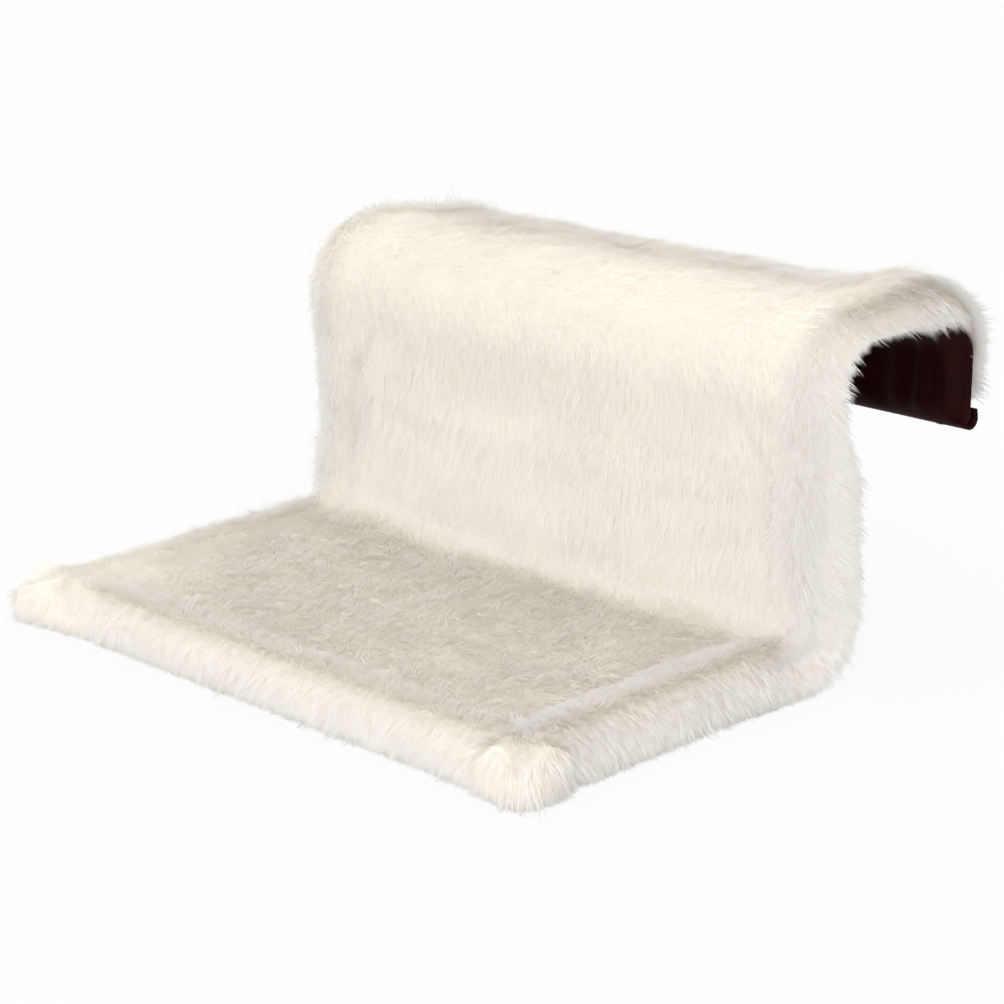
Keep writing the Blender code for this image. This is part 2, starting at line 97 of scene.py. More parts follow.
# between these the cover grows thinner on its under side, towards the top
thinStart, thinEnd = backEnd - 0.053, backEnd - 0.008


def along(distance):
    # point (y, z) and heading of the side view at this distance
    y, z, heading = sideView["frontY"], sideView["seatZ"], 0.0
    left = distance
    for number, (length, radius, turn) in enumerate(sideView["runs"]):
        step = left if left < length or number == len(sideView["runs"]) - 1 else length
        ahead, aside = step, 0.0
        if radius:
            ahead = radius * math.sin(step / radius)
            aside = turn * radius * (1 - math.cos(step / radius))
        y += ahead * math.cos(heading) - aside * math.sin(heading)
        z += ahead * math.sin(heading) + aside * math.cos(heading)
        if radius:
            heading += turn * step / radius
        left -= step
        if left <= 0:
            break
    return y, z, heading


routeSteps = np.arange(-0.05, hookBar + 0.05, 0.0005)
routeRows = np.array([along(distance) for distance in routeSteps])


def bent(flat):
    # from the flat pattern (across, along, height) to the bent frame
    y, z, heading = (np.interp(flat[:, 1], routeSteps, routeRows[:, row]) for row in range(3))
    return np.stack(
        (flat[:, 0], y - flat[:, 2] * np.sin(heading), z + flat[:, 2] * np.cos(heading)), axis=1
    )


def ease(share):
    share = np.clip(share, 0, 1)
    return share * share * (3 - 2 * share)


def level(distance, stops):
    # smooth change from stop to stop
    places, values = zip(*stops)
    spot = np.interp(distance, places, range(len(places)))
    whole = np.floor(spot)
    return np.interp(whole + ease(spot - whole), range(len(places)), values)


def bump(distance, centre, reach):
    return np.exp(-(((distance - centre) / reach) ** 2))


def readPoints(mesh, what="co"):
    values = np.zeros(len(mesh.vertices) * 3, np.float32)
    mesh.vertices.foreach_get(what, values)
    return values.reshape(-1, 3).astype(float)


def writePoints(mesh, points):
    mesh.vertices.foreach_set("co", np.asarray(points, np.float32).ravel())
    mesh.update()


def waves(points, pitch, seed):
    # soft noise from -1 to 1 at these places
    shift = Vector((seed * 3.1, seed * 1.7, seed * 2.3))
    return np.array([noise.noise(Vector(point) / pitch + shift) for point in points])


def objectFrom(name, work, material):
    mesh = bpy.data.meshes.new(name)
    work.to_mesh(mesh)
    work.free()
    mesh.shade_smooth()
    mesh.materials.append(material)
    made = bpy.data.objects.new(name, mesh)
    bpy.context.scene.collection.objects.link(made)
    return made


# Materials


def newMaterial(name):
    made = bpy.data.materials.new(name)
    made.use_nodes = True
    return made, made.node_tree, made.node_tree.nodes["Principled BSDF"]


def addNode(tree, kind, values=None, **settings):
    node = tree.nodes.new(kind)
    for key, value in settings.items():
        setattr(node, key, value)
    for key, value in (values or {}).items():
        node.inputs[key].default_value = value
    return node


def rampStops(node, stops):
    ramp = node.color_ramp
    while len(ramp.elements) < len(stops):
        ramp.elements.new(0.5)
    for element, (position, color) in zip(ramp.elements, stops):
        element.position = position
        element.color = (*color, 1)


def wearGroup():
    # small uneven patches and fine grain, for the hard parts
    tree = bpy.data.node_groups.new("handlingWear", "ShaderNodeTree")
    for name, default in (("Patch Scale", 40.0), ("Grain Scale", 900.0), ("Low", 0.3), ("High", 0.5)):
        socket = tree.interface.new_socket(name, in_out="INPUT", socket_type="NodeSocketFloat")
        socket.default_value = default
    for name in ("Roughness", "Grain", "Patches"):
        tree.interface.new_socket(name, in_out="OUTPUT", socket_type="NodeSocketFloat")
    entry = tree.nodes.new("NodeGroupInput")
    leave = tree.nodes.new("NodeGroupOutput")
    where = tree.nodes.new("ShaderNodeTexCoord")
    patches = addNode(tree, "ShaderNodeTexNoise", {"Detail": 4.0})
    grain = addNode(tree, "ShaderNodeTexNoise", {"Detail": 2.0})
    spread = addNode(tree, "ShaderNodeMapRange", {"From Min": 0.3, "From Max": 0.7})
    link = tree.links.new
    link(where.outputs["Object"], patches.inputs["Vector"])
    link(where.outputs["Object"], grain.inputs["Vector"])
    link(entry.outputs["Patch Scale"], patches.inputs["Scale"])
    link(entry.outputs["Grain Scale"], grain.inputs["Scale"])
    link(patches.outputs["Fac"], spread.inputs["Value"])
    link(entry.outputs["Low"], spread.inputs["To Min"])
    link(entry.outputs["High"], spread.inputs["To Max"])
    link(spread.outputs["Result"], leave.inputs["Roughness"])
    link(grain.outputs["Fac"], leave.inputs["Grain"])
    link(patches.outputs["Fac"], leave.inputs["Patches"])
    return tree


handlingWear = wearGroup()


def grainedMaterial(name, darker, lighter, metallic, rough, grainScale, bumpDepth):
    # colour in soft patches, uneven roughness and fine grain
    made, tree, shader = newMaterial(name)
    link = tree.links.new
    wear = addNode(tree, "ShaderNodeGroup", node_tree=handlingWear)
    wear.inputs["Grain Scale"].default_value = grainScale
    wear.inputs["Low"].default_value = rough[0]
    wear.inputs["High"].default_value = rough[1]
    ramp = addNode(tree, "ShaderNodeValToRGB")
    rampStops(ramp, ((0.3, darker), (0.7, lighter)))
    lift = addNode(tree, "ShaderNodeBump", {"Strength": 0.5, "Distance": bumpDepth})
    link(wear.outputs["Patches"], ramp.inputs["Fac"])
    link(ramp.outputs["Color"], shader.inputs["Base Color"])
    link(wear.outputs["Roughness"], shader.inputs["Roughness"])
    link(wear.outputs["Grain"], lift.inputs["Height"])
    link(lift.outputs["Normal"], shader.inputs["Normal"])
    shader.inputs["Metallic"].default_value = metallic
    return made


# Plush: warm at the roots, nearly white at the tips; the roots' warmer, darker cream is painted shade deep
# in the pile
plushLook = {
    "root": (0.984, 0.948, 0.872),
    "middle": (0.990, 0.983, 0.968),
    "tip": (0.995, 0.993, 0.990),
    "toneSpread": 0.015,
    "cloudSize": 0.045,
    "cloudTints": ((0.990, 0.985, 0.975), (1.0, 0.994, 0.983)),
    "roughness": 0.85,
    "sheen": 0.15,
    "through": 0.55,
    "openShadow": 0.96,
}


def plushMaterial():
    made, tree, shader = newMaterial("creamPlush")
    link = tree.links.new
    tip = addNode(tree, "ShaderNodeAttribute", attribute_name="tip")
    tone = addNode(tree, "ShaderNodeAttribute", attribute_name="tone")
    where = tree.nodes.new("ShaderNodeTexCoord")
    cloud = addNode(tree, "ShaderNodeTexNoise", {"Scale": 1 / plushLook["cloudSize"], "Detail": 2.0})
    strand = addNode(tree, "ShaderNodeValToRGB")
    # roots darker and warmer than the tips: painted shade deep in the pile
    rampStops(
        strand, ((0.0, plushLook["root"]), (0.5, plushLook["middle"]), (1.0, plushLook["tip"]))
    )
    tint = addNode(tree, "ShaderNodeValToRGB")
    rampStops(tint, list(zip((0.35, 0.65), plushLook["cloudTints"])))
    spread = addNode(tree, "ShaderNodeMapRange", {"To Min": 1 - plushLook["toneSpread"], "To Max": 1.0})
    tinted = addNode(tree, "ShaderNodeVectorMath", operation="MULTIPLY")
    colour = addNode(tree, "ShaderNodeVectorMath", operation="SCALE")
    link(tip.outputs["Fac"], strand.inputs["Fac"])
    link(tone.outputs["Fac"], spread.inputs["Value"])
    link(where.outputs["Object"], cloud.inputs["Vector"])
    link(cloud.outputs["Fac"], tint.inputs["Fac"])
    link(strand.outputs["Color"], tinted.inputs[0])
    link(tint.outputs["Color"], tinted.inputs[1])
    link(tinted.outputs["Vector"], colour.inputs[0])
    link(spread.outputs["Result"], colour.inputs["Scale"])
    link(colour.outputs["Vector"], shader.inputs["Base Color"])
    shader.inputs["Roughness"].default_value = plushLook["roughness"]
    shader.inputs["Specular IOR Level"].default_value = 0.1
    shader.inputs["Sheen Weight"].default_value = plushLook["sheen"]
    shader.inputs["Sheen Roughness"].default_value = 0.6
    # a hair lets light through as well
    through = tree.nodes.new("ShaderNodeBsdfTranslucent")
    blend = addNode(tree, "ShaderNodeMixShader", {"Fac": plushLook["through"]})
    link(colour.outputs["Vector"], through.inputs["Color"])
    link(shader.outputs[0], blend.inputs[1])
    link(through.outputs[0], blend.inputs[2])
    # light reaches deep into the pile: a share of each shadow passes through
    rays = tree.nodes.new("ShaderNodeLightPath")
    share = addNode(tree, "ShaderNodeMath", operation="MULTIPLY")
    share.inputs[1].default_value = plushLook["openShadow"]
    clear = tree.nodes.new("ShaderNodeBsdfTransparent")
    soft = tree.nodes.new("ShaderNodeMixShader")
    link(rays.outputs["Is Shadow Ray"], share.inputs[0])
    link(share.outputs[0], soft.inputs["Fac"])
    link(blend.outputs[0], soft.inputs[1])
    link(clear.outputs[0], soft.inputs[2])
    link(soft.outputs[0], tree.nodes["Material Output"].inputs["Surface"])
    return made


def clothMaterial(name, darker, lighter, threads, rough, bumpDepth, knitted=False):
    # a weave of crossing threads, or a knit of small round stitches
    made, tree, shader = newMaterial(name)
    link = tree.links.new
    where = tree.nodes.new("ShaderNodeTexCoord")
    patches = addNode(tree, "ShaderNodeTexNoise", {"Scale": 35.0, "Detail": 4.0})
    ramp = addNode(tree, "ShaderNodeValToRGB")
    rampStops(ramp, ((0.3, darker), (0.7, lighter)))
    roughness = addNode(
        tree,
        "ShaderNodeMapRange",
        {"From Min": 0.3, "From Max": 0.7, "To Min": rough[0], "To Max": rough[1]},
    )
    lift = addNode(tree, "ShaderNodeBump", {"Strength": 0.4, "Distance": bumpDepth})
    link(where.outputs["Object"], patches.inputs["Vector"])
    link(patches.outputs["Fac"], ramp.inputs["Fac"])
    link(patches.outputs["Fac"], roughness.inputs["Value"])
    link(ramp.outputs["Color"], shader.inputs["Base Color"])
    link(roughness.outputs["Result"], shader.inputs["Roughness"])
    link(lift.outputs["Normal"], shader.inputs["Normal"])
    if knitted:
        stitches = addNode(tree, "ShaderNodeTexVoronoi", {"Scale": threads})
        link(where.outputs["Object"], stitches.inputs["Vector"])
        link(stitches.outputs["Distance"], lift.inputs["Height"])
        return made, shader
    weave = addNode(tree, "ShaderNodeMath", operation="MULTIPLY")
    for number, direction in enumerate(("X", "DIAGONAL")):
        thread = addNode(
            tree,
            "ShaderNodeTexWave",
            {"Scale": threads, "Distortion": 0.4},
            bands_direction=direction,
        )
        link(where.outputs["Object"], thread.inputs["Vector"])
        link(thread.outputs["Fac"], weave.inputs[number])
    link(weave.outputs["Value"], lift.inputs["Height"])
    return made, shader


creamPlush = plushMaterial()
plushBacking, shader = clothMaterial(
    "plushBacking", (0.955, 0.93, 0.885), (0.97, 0.95, 0.91), 700.0, (0.9, 0.97), 0.0006, knitted=True
)
redBrownLining, shader = clothMaterial(
    "redBrownLining", (0.0150, 0.0017, 0.0015), (0.0260, 0.0032, 0.0028), 420.0, (0.42, 0.56), 0.0002
)
shader.inputs["Specular IOR Level"].default_value = 0.06
shader.inputs["Sheen Weight"].default_value = 0.03
shader.inputs["Sheen Roughness"].default_value = 0.4
shader.inputs["Sheen Tint"].default_value = (0.7, 0.25, 0.2, 1)
whiteWadding, shader = clothMaterial(
    "whiteWadding", (0.80, 0.80, 0.78), (0.90, 0.90, 0.88), 260.0, (0.9, 1.0), 0.0012, knitted=True
)
greyFoam, shader = clothMaterial(
    "greyFoam", (0.15, 0.15, 0.155), (0.20, 0.20, 0.205), 1100.0, (0.85, 0.95), 0.0004, knitted=True
)
darkTape, shader = clothMaterial(
    "darkTape", (0.020, 0.011, 0.011), (0.032, 0.018, 0.018), 900.0, (0.75, 0.95), 0.0006, knitted=True
)
greyCoat = grainedMaterial(
    "greyPowderCoat", (0.55, 0.56, 0.58), (0.66, 0.67, 0.69), 0.0, (0.38, 0.5), 1600.0, 0.00004
)
zincPlate = grainedMaterial(
    "zincPlate", (0.62, 0.62, 0.60), (0.78, 0.78, 0.75), 1.0, (0.22, 0.38), 2500.0, 0.00001
)
blackPlastic = grainedMaterial(
    "blackPlastic", (0.022, 0.022, 0.023), (0.036, 0.036, 0.037), 0.0, (0.45, 0.6), 1200.0, 0.00004
)
print("materials made")


# The plush cover's ground cloth, without its pile. Heights are from the plane of the tubes' centres.
cover = {
    "halfWidth": 0.2335,
    # how much wider each side is: where, by how much
    "leftSpread": (
        (creaseJoint - 0.05, 0.0),
        (creaseMiddle, 0.0090),
        (creaseEnd + 0.006, 0.0090),
        (creaseEnd + 0.042, 0.0010),
        (creaseEnd + 0.085, 0.0065),
        (backEnd, 0.0080),
        (dropStart, 0.0065),
    ),
    "rightSpread": (
        (creaseJoint - 0.05, 0.0),
        (creaseMiddle, 0.0070),
        (creaseEnd + 0.05, 0.0045),
        (backEnd, 0.0040),
    ),
    "frontEnd": -0.0165,
    "hookEnd": hookBar - 0.004,
    "rollWidth": (
        (creaseJoint, 0.045),
        (backEnd - 0.060, 0.045),
        (backEnd, 0.075),
        (hookStart, 0.085),
        (dropStart, 0.050),
    ),
    "frontNarrower": 1.45,
    "rollOuter": 0.019,
    "rollWobble": 0.0035,
    "cornerRadius": 0.020,
    "shoulder": 0.045,
    "seamDrop": 0.0003,
    "equator": -0.002,
    "bottom": -0.0146,
    "topBottom": -0.0012,
    "leftCrown": (
        (creaseJoint - 0.02, 0.0145),
        (creaseMiddle, 0.0125),
        (creaseEnd + 0.02, 0.0145),
        (backEnd - 0.053, 0.0150),
        (backEnd + 0.015, 0.0205),
        (topStart + 0.005, 0.0180),
        (hookStart, 0.0090),
        (dropStart, 0.0080),
    ),
    "rightCrown": (
        (creaseJoint - 0.02, 0.0145),
        (creaseMiddle, 0.0125),
        (creaseEnd + 0.02, 0.0140),
        (backEnd - 0.053, 0.0140),
        (backEnd + 0.015, 0.0170),
        (topStart + 0.010, 0.0150),
        (hookStart, 0.0140),
        (dropStart, 0.0095),
    ),
    "panel": (
        (creaseStart - 0.048, 0.0095),
        (creaseJoint, 0.0100),
        (creaseMiddle, 0.0115),
        (creaseEnd, 0.0110),
        (creaseEnd + 0.048, 0.0080),
        (backEnd - 0.056, 0.0095),
        (backEnd + 0.010, 0.0165),
        (topStart, 0.0135),
        (hookStart - 0.015, 0.0060),
        (dropStart, 0.0065),
    ),
    "thickness": 0.0015,
    # the filling below it: the foam's place across and its radius, and the wadding's upper side
    "foamAcross": 0.214,
    "foamRadius": 0.0160,
    "wadding": (
        (creaseJoint, 0.0036),
        (creaseMiddle, 0.0095),
        (creaseEnd, 0.0095),
        (creaseEnd + 0.05, 0.0045),
        (backEnd - 0.05, 0.0045),
        (backEnd, 0.0092),
        (hookStart, 0.0092),
        (dropStart, 0.0072),
    ),
}
# How the cover is puffed up by cloth simulation
puff = {
    "voxel": 0.006,
    "pressure": 4.0,
    "frames": 20,
    "cap": 0.0055,
    "start": 0.0020,  # how much smaller the shape is before it is puffed up
    "seamReach": 0.006,
}
# Soft uneven places of the stuffing: pitch, depth, seed
lumps = ((0.085, 0.0030, 1), (0.038, 0.0013, 2))
# The seat's drawn-out front corners: side, push, reach, how much flatter, lift of the under side
ears = ((-1, 0.020, 0.040, 0.35, 0.006), (1, 0.012, 0.040, 0.0, 0.0))
# How deep the border's seam is drawn in along the pattern
seamDepths = (
    (creaseJoint, 0.0002),
    (creaseEnd + 0.04, 0.0028),
    (creaseEnd + 0.09, 0.0034),
    (backEnd - 0.02, 0.0010),
    (hookStart, 0.0),
)
seamReach = 0.0080
# The sewn valley between seat and back, deeper inside the border rolls
valley = {"depth": 0.0012, "rollDepth": 0.0018, "rollWidth": 0.050, "reach": 0.008}
# The notch beside the near corner
notch = {"onward": 0.040, "reach": 0.009, "across": 0.200, "depth": 0.0045, "lift": 0.004}
# Fuller and slacker places: across, along, reach across, reach along, height
swells = (
    (0.205, hookStart + 0.005, 0.050, 0.060, 0.0050),
    (0.215, hookStart + 0.040, 0.050, 0.030, 0.0040),
    (0.080, creaseEnd + 0.060, 0.110, 0.035, 0.0020),
    (-0.060, creaseEnd + 0.100, 0.120, 0.030, -0.0015),
)


def halfWidthAt(x, distance):
    left, right = level(distance, cover["leftSpread"]), level(distance, cover["rightSpread"])
    return cover["halfWidth"] + np.where(x < 0, left, right)


def edgeDistance(x, distance, ends):
    # from the cover's sewn outer edge; ends are its closed ends, or None
    fromSide = halfWidthAt(x, distance) - np.abs(x)
    fromEnd = np.full_like(fromSide, 1.0)
    if ends[0] is not None:
        fromEnd = np.minimum(fromEnd, (distance - ends[0]) * cover["frontNarrower"])
    if ends[1] is not None:
        fromEnd = np.minimum(fromEnd, ends[1] - distance)
    radius = cover["cornerRadius"]
    corner = radius - np.hypot(radius - fromSide, radius - fromEnd)
    return np.where(
        (fromSide < radius) & (fromEnd < radius), corner, np.minimum(fromSide, fromEnd)
    )


def coverHeight(x, distance, ends):
    edge = edgeDistance(x, distance, ends)
    crown = np.where(
        x < 0, level(distance, cover["leftCrown"]), level(distance, cover["rightCrown"])
    ) - puff["start"]
    panel = level(distance, cover["panel"]) - puff["start"]
    seam = panel - cover["seamDrop"]
    outer, width = cover["rollOuter"], level(distance, cover["rollWidth"])
    rise = np.sqrt(np.clip(1 - (1 - np.clip(edge / outer, 0, 1)) ** 2, 0, 1))
    fall = 0.5 + 0.5 * np.cos(math.pi * np.clip((edge - outer) / (width - outer), 0, 1) ** 1.2)
    roll = np.where(
        edge <= outer, cover["equator"] + (crown - cover["equator"]) * rise, seam + (crown - seam) * fall
    )
    return np.where(edge <= width, roll, seam + (panel - seam) * ease((edge - width) / cover["shoulder"]))


def roundedCorners(flat, ends):
    # moves a square corner's points onto its rounding
    x, distance = flat[:, 0].copy(), flat[:, 1].copy()
    radius = cover["cornerRadius"]
    halfWidth = halfWidthAt(x, distance)
    overX = np.abs(x) - (halfWidth - radius)
    for end, inward in ((ends[0], 1), (ends[1], -1)):
        if end is None:
            continue
        overEnd = (end + inward * radius - distance) * inward
        near = (overX > 0) & (overEnd > 0)
        scale = np.maximum(overX, overEnd) / np.maximum(np.hypot(overX, overEnd), 1e-9)
        x = np.where(near, np.copysign(halfWidth - radius + overX * scale, x), x)
        distance = np.where(near, end + inward * (radius - overEnd * scale), distance)
    return np.stack((x, distance), axis=1)


def flatPad(start, end, ends, step=0.007):
    # a closed pad of the flat pattern: its top, and the same extruded down to its under side
    work = bmesh.new()
    columns, rows = round(2 * cover["halfWidth"] / step), round((end - start) / step)
    bmesh.ops.create_grid(work, x_segments=columns, y_segments=rows, size=0.5)
    grown = bmesh.ops.extrude_face_region(work, geom=work.faces[:])["geom"]
    lower = {item for item in grown if isinstance(item, bmesh.types.BMVert)}
    flat = np.array([vertex.co for vertex in work.verts])
    flat[:, 1] = start + (flat[:, 1] + 0.5) * (end - start)
    flat[:, 0] *= 2 * halfWidthAt(flat[:, 0], flat[:, 1])
    flat[:, :2] = roundedCorners(flat, ends)
    flat[:, 2] = coverHeight(flat[:, 0], flat[:, 1], ends)
    for vertex, place in zip(work.verts, flat):
        vertex.co = place
        if vertex in lower:
            vertex.co.z = cover["bottom"] - 0.004
    bmesh.ops.recalc_face_normals(work, faces=work.faces)
    return work


def remeshed(piece, voxel):
    # the piece's shape again, in even cells
    cells = piece.modifiers.new("cells", "REMESH")
    cells.mode = "VOXEL"
    cells.voxel_size = voxel
    graph = bpy.context.evaluated_depsgraph_get()
    mesh = bpy.data.meshes.new_from_object(piece.evaluated_get(graph))
    piece.modifiers.remove(cells)
    piece.data = mesh


def inflated(piece, held):
    # air pressure fills the piece between the points that are held
    stage = bpy.context.scene
    before = readPoints(piece.data)
    group = piece.vertex_groups.new(name="held")
    for index in np.flatnonzero(held > 0.02):
        group.add([int(index)], float(held[index]), "REPLACE")
    cloth = piece.modifiers.new("cloth", "CLOTH")
    cloth.settings.use_pressure = True
    cloth.settings.uniform_pressure_force = puff["pressure"]
    cloth.settings.effector_weights.gravity = 0
    cloth.settings.vertex_group_mass = group.name
    for number in range(1, puff["frames"] + 1):
        stage.frame_set(number)
    after = readPoints(piece.evaluated_get(bpy.context.evaluated_depsgraph_get()).data)
    piece.modifiers.remove(cloth)
    piece.vertex_groups.remove(group)
    stage.frame_set(1)
    moved = after - before
    far = np.maximum(np.linalg.norm(moved, axis=1, keepdims=True), 1e-9)
    writePoints(piece.data, before + moved * puff["cap"] * np.tanh(far / puff["cap"]) / far)


def coverSkin(name, start, end, ends):
    # the ground cloth in the flat pattern: puffed up, cut open below and at its joint
    margin = 0.012
    low = start if ends[0] is not None else start - margin
    high = end if ends[1] is not None else end + margin
    piece = objectFrom(name, flatPad(low, high, ends), plushBacking)
    remeshed(piece, puff["voxel"])
    flat = readPoints(piece.data)
    edge = edgeDistance(flat[:, 0], flat[:, 1], ends)
    width = level(flat[:, 1], cover["rollWidth"])
    seamShare = ease((backEnd - flat[:, 1]) / 0.03)
    held = seamShare * bump(edge, width, puff["seamReach"])
    # the seat's middle panel is quilted down, and level with its seam
    held = np.maximum(held, 0.7 * ease((edge - width) / 0.004 + 1) * ease((creaseJoint - flat[:, 1]) / 0.02))
    held *= flat[:, 2] > cover["equator"] - 0.004
    held = np.maximum(held, ease((-0.010 - flat[:, 2]) / 0.003))
    held = np.maximum(held, 0.8 * bump(flat[:, 1], creaseMiddle, 0.010))
    for isOpen, place in ((ends[0] is None, low), (ends[1] is None, high)):
        if isOpen:
            held = np.maximum(held, bump(flat[:, 1], place, 0.003))
    inflated(piece, held)
    work = bmesh.new()
    work.from_mesh(piece.data)
    bmesh.ops.subdivide_edges(work, edges=work.edges, cuts=1, use_grid_fill=True)
    for number in range(3):
        bmesh.ops.smooth_vert(
            work, verts=work.verts, factor=0.5, use_axis_x=True, use_axis_y=True, use_axis_z=True
        )
    cuts = [((0, 0, cover["bottom"]), (0, 0, -1))]
    if ends[0] is None:
        cuts.append(((0, start, 0), (0, -1, 0)))
    if ends[1] is None:
        cuts.append(((0, end, 0), (0, 1, 0)))
    for place, outwards in cuts:
        bmesh.ops.bisect_plane(
            work, geom=work.verts[:] + work.edges[:] + work.faces[:], plane_co=place, plane_no=outwards,
            clear_outer=True,
        )
    work.to_mesh(piece.data)
    work.free()
    piece.data.shade_smooth()
    return piece


def sculpted(flat, ends):
    # the uneven stuffing, seams and folds, in the flat pattern
    x, distance, height = flat[:, 0].copy(), flat[:, 1].copy(), flat[:, 2].copy()
    edge = edgeDistance(x, distance, ends)
    upper = ease((height - cover["equator"] + 0.004) / 0.008)
    spots = np.stack((x, distance, 0 * x), axis=1)
    for pitch, depth, seed in lumps:
        height += upper * depth * waves(spots, pitch, seed)
    wander = level(distance, cover["rollWidth"]) + cover["rollWobble"] * waves(spots, 0.05, 5)
    # the right border of the back hardly shows its seam
    plainRight = 1 - 0.6 * ease((distance - creaseEnd - 0.03) / 0.03) * (x > 0)
    deep = level(distance, seamDepths) * (1 + 0.5 * waves(spots, 0.08, 6)) * plainRight
    height -= upper * deep * bump(edge, wander, seamReach)
    drawn = valley["depth"] + valley["rollDepth"] * ease((valley["rollWidth"] - edge) / 0.010)
    height -= upper * drawn * bump(distance, creaseMiddle, valley["reach"])
    for across, onward, reachAcross, reachAlong, swell in swells:
        height += upper * swell * bump(x, across, reachAcross) * bump(distance, onward, reachAlong)
    if ends[0] is not None:
        for side, push, reach, flatter, lift in ears:
            corner = np.hypot(x - side * cover["halfWidth"], distance - ends[0])
            near = np.exp(-((corner / reach) ** 2))
            x += side * 0.7 * push * near
            distance -= 0.8 * push * near
            height = np.where(height > 0, height * (1 - flatter * near), height + lift * near)
        cut = bump(distance, ends[0] + notch["onward"], notch["reach"])
        cut *= ease((x - notch["across"]) / 0.02)
        x -= notch["depth"] * cut
        height = np.where(height < 0, height + notch["lift"] * cut, height)
    # never inside the filling
    for aside, has in ((np.abs(x) - cover["foamAcross"], distance < backEnd + 0.02), (distance, True)):
        overFoam = np.sqrt(np.clip(cover["foamRadius"] ** 2 - aside ** 2, 0, None))
        padded = (height > 0) & (overFoam > 0) & has
        height = np.where(padded, np.maximum(height, overFoam), height)
    least = level(distance, cover["wadding"])
    inner = upper * ease((edge - 0.020) / 0.010)
    height += inner * 0.5 * (np.sqrt((height - least) ** 2 + 0.0015 ** 2) - (height - least))
    # the top and the hook are thinner below the tubes
    below = level(distance, ((thinStart, 1.0), (thinEnd, cover["topBottom"] / cover["bottom"])))
    height = np.where(height < 0, height * below, height)
    return np.stack((x, distance, height), axis=1)


def storeFacts(mesh, name, kind, values):
    made = mesh.attributes.get(name) or mesh.attributes.new(name, kind, "POINT")
    made.data.foreach_set(
        "vector" if kind == "FLOAT_VECTOR" else "value", np.asarray(values, np.float32).ravel()
    )


coverPieces = {}
for name, start, end, ends in (
    ("seatCover", cover["frontEnd"], creaseJoint, (cover["frontEnd"], None)),
    ("backCover", creaseJoint, cover["hookEnd"], (None, cover["hookEnd"])),
):
    piece = coverSkin(name, start, end, ends)
    flat = sculpted(readPoints(piece.data), ends)
    writePoints(piece.data, bent(flat))
    coverPieces[name] = (piece, flat, ends)
    print(name, len(piece.data.polygons), "faces")


# The pile: locks of tapered blades, scattered over the ground cloth
pile = {
    "length": 0.0148,
    "tuftsPerSquareMetre": 330000,
    "blades": 6,
    "bladeWidth": 0.00050,
    "rootSpread": 0.0030,
    "clump": 0.22,
    "droop": 0.0030,
    "lift": 0.78,
    "crestLift": 0.55,
    "crestDenser": 0.6,
    "combWaveScale": 34.0,
    "combWave": 0.24,
    "fineNoise": 0.24,
    "skinNormal": 0.87,  # how far a blade is shaded like the cloth that it grows on
    "variants": 6,
    "longest": 1.85,  # the longest lock's size
    "lockSizes": (0.45, 0.53, 0.61),  # shares of it: the smallest, the middle one, the largest usual one
    "usual": 0.93,
    "seed": 7,
}


def tuft(name, seed):
    # a lock of a few blades that draw together to one tip; it grows along +Z, outside at +X
    rng = random.Random(seed)
    work = bmesh.new()
    tip = work.verts.layers.float.new("tip")
    for blade in range(pile["blades"]):
        angle = 2 * math.pi * (blade + rng.random()) / pile["blades"]
        reach = pile["rootSpread"] * math.sqrt(rng.uniform(0.05, 1))
        rootX, rootY = 0.5 * reach * math.cos(angle), reach * math.sin(angle)
        length = pile["length"] * rng.uniform(0.70, 1.10)
        width = pile["bladeWidth"] * rng.uniform(0.8, 1.2)
        droop = pile["droop"] * rng.uniform(0.5, 1.5)
        splay = rng.uniform(-0.0014, 0.0014)
        for vertex in bmesh.ops.create_grid(work, x_segments=1, y_segments=1, size=0.5)["verts"]:
            side, share = vertex.co.x - vertex.co.y, (vertex.co.x + vertex.co.y + 1) / 2
            vertex[tip] = share
            drawn = 1 - pile["clump"] * share
            vertex.co = (
                rootX * drawn - droop * share * share,
                rootY * drawn + side * width / 2 + splay * share * share,
                length * share,
            )
    mesh = bpy.data.meshes.new(name)
    work.to_mesh(mesh)
    work.free()
    mesh.shade_smooth()
    return mesh


tufts = bpy.data.collections.new("tufts")
for number in range(pile["variants"]):
    tufts.objects.link(bpy.data.objects.new(f"tuft{number}", tuft(f"tuft{number}", number + 1)))


